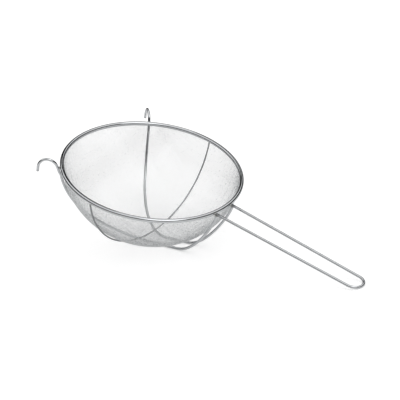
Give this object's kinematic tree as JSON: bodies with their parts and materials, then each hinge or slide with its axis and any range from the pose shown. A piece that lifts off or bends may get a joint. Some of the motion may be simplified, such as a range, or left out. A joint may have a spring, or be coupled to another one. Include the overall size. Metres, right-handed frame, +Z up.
{
  "type": "bowl sieve",
  "caption": "Stainless steel bowl sieve with woven wire cloth, a rolled rim, a wire loop handle and two pot hooks, standing on its feet and handle end",
  "frame": {"origin": "point on the floor below the middle of the sieve's box", "axes": "+Z up as the sieve rests on its two feet and its handle end, +X from the bowl to the handle, +Y to the left seen from the bowl"},
  "size_m": [0.434, 0.24, 0.1423],
  "materials": {
    "rim_steel": "polished rolled stainless sheet",
    "core_steel": "drawn stainless wire, hidden in the rim",
    "cross_wire_steel": "drawn stainless wire",
    "frame_wire_steel": "electropolished drawn stainless wire",
    "cloth_steel": "plain woven stainless wire cloth"
  },
  "bodies": {
    "root": {"rim_roll": "rim_steel", "rim_core_wire": "core_steel", "cross_wire": "cross_wire_steel", "handle_loop": "frame_wire_steel", "cradle_wire_right": "frame_wire_steel", "cradle_wire_left": "frame_wire_steel", "warp_wire_01": "cloth_steel", "warp_wire_02": "cloth_steel", "warp_wire_03": "cloth_steel", "warp_wire_04": "cloth_steel", "warp_wire_05": "cloth_steel", "warp_wire_06": "cloth_steel", "warp_wire_07": "cloth_steel", "warp_wire_08": "cloth_steel", "warp_wire_09": "cloth_steel", "warp_wire_10": "cloth_steel", "warp_wire_11": "cloth_steel", "warp_wire_12": "cloth_steel", "warp_wire_13": "cloth_steel", "warp_wire_14": "cloth_steel", "warp_wire_15": "cloth_steel", "warp_wire_16": "cloth_steel", "warp_wire_17": "cloth_steel", "warp_wire_18": "cloth_steel", "warp_wire_19": "cloth_steel", "warp_wire_20": "cloth_steel", "warp_wire_21": "cloth_steel", "warp_wire_22": "cloth_steel", "warp_wire_23": "cloth_steel", "warp_wire_24": "cloth_steel", "warp_wire_25": "cloth_steel", "weft_wire_01": "cloth_steel", "weft_wire_02": "cloth_steel", "weft_wire_03": "cloth_steel", "weft_wire_04": "cloth_steel", "weft_wire_05": "cloth_steel", "weft_wire_06": "cloth_steel", "weft_wire_07": "cloth_steel", "weft_wire_08": "cloth_steel", "weft_wire_09": "cloth_steel", "weft_wire_10": "cloth_steel", "weft_wire_11": "cloth_steel", "weft_wire_12": "cloth_steel", "weft_wire_13": "cloth_steel", "weft_wire_14": "cloth_steel", "weft_wire_15": "cloth_steel", "weft_wire_16": "cloth_steel", "weft_wire_17": "cloth_steel", "weft_wire_18": "cloth_steel", "weft_wire_19": "cloth_steel", "weft_wire_20": "cloth_steel", "weft_wire_21": "cloth_steel", "weft_wire_22": "cloth_steel", "weft_wire_23": "cloth_steel", "weft_wire_24": "cloth_steel", "weft_wire_25": "cloth_steel"}
  },
  "joints": []
}
